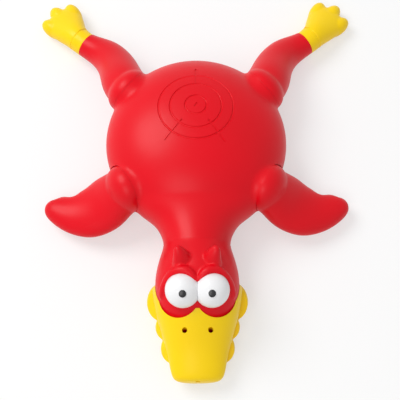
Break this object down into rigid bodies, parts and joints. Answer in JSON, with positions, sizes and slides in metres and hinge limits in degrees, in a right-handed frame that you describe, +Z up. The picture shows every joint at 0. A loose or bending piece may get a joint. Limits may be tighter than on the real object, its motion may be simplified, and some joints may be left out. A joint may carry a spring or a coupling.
{
  "type": "squeaky vinyl chicken",
  "caption": "Soft vinyl squeaky chicken lying on its belly, with plug-in turning head, wings, legs and feet, a two-part bill, domed eyes and a belly squeaker.",
  "frame": {"origin": "centre of the flat patch of the belly that the chicken lies on", "axes": "+Z up through the back, +Y towards the legs, -Y towards the bill, +X towards the chicken's own left wing"},
  "size_m": [0.2294, 0.2814, 0.06],
  "materials": {
    "red_vinyl": "satin moulded soft vinyl",
    "yellow_vinyl": "satin moulded soft vinyl",
    "white_vinyl": "semi-gloss moulded",
    "black_plastic": "gloss moulded",
    "squeaker_plastic": "natural moulded",
    "reed_film": "thin film"
  },
  "bodies": {
    "torso": {"torso": "red_vinyl", "squeaker_housing": "squeaker_plastic", "squeaker_cap": "squeaker_plastic", "squeaker_reed_block": "squeaker_plastic", "squeaker_reed": "reed_film"},
    "head": {"head": "red_vinyl", "upper_bill": "yellow_vinyl", "lower_bill": "yellow_vinyl", "left_eye": "white_vinyl", "right_eye": "white_vinyl", "left_pupil": "black_plastic", "right_pupil": "black_plastic"},
    "left_wing": {"left_wing": "red_vinyl"},
    "right_wing": {"right_wing": "red_vinyl"},
    "left_leg": {"left_leg": "red_vinyl"},
    "right_leg": {"right_leg": "red_vinyl"},
    "left_foot": {"left_foot": "yellow_vinyl"},
    "right_foot": {"right_foot": "yellow_vinyl"}
  },
  "joints": [
    {"name": "neck_swivel", "type": "hinge", "parent": "torso", "child": "head", "pos_m": [0, -0.074, 0.027], "axis": [0, -1, 0], "continuous": true},
    {"name": "left_shoulder_swivel", "type": "hinge", "parent": "torso", "child": "left_wing", "pos_m": [0.04674, -0.0344, 0.03014], "axis": [0.8555, -0.4742, 0.2079], "continuous": true},
    {"name": "right_shoulder_swivel", "type": "hinge", "parent": "torso", "child": "right_wing", "pos_m": [-0.04674, -0.0344, 0.03014], "axis": [-0.8555, -0.4742, 0.2079], "continuous": true},
    {"name": "left_hip_swivel", "type": "hinge", "parent": "torso", "child": "left_leg", "pos_m": [0.04638, 0.03775, 0.03087], "axis": [0.7493, 0.6287, 0.2079], "continuous": true},
    {"name": "right_hip_swivel", "type": "hinge", "parent": "torso", "child": "right_leg", "pos_m": [-0.04638, 0.03775, 0.03087], "axis": [-0.7493, 0.6287, 0.2079], "continuous": true},
    {"name": "left_ankle_swivel", "type": "hinge", "parent": "left_leg", "child": "left_foot", "pos_m": [0.07963, 0.08569, 0.012], "axis": [0.7869, 0.6148, 0.0523], "continuous": true},
    {"name": "right_ankle_swivel", "type": "hinge", "parent": "right_leg", "child": "right_foot", "pos_m": [-0.07963, 0.08569, 0.012], "axis": [-0.7869, 0.6148, 0.0523], "continuous": true}
  ]
}
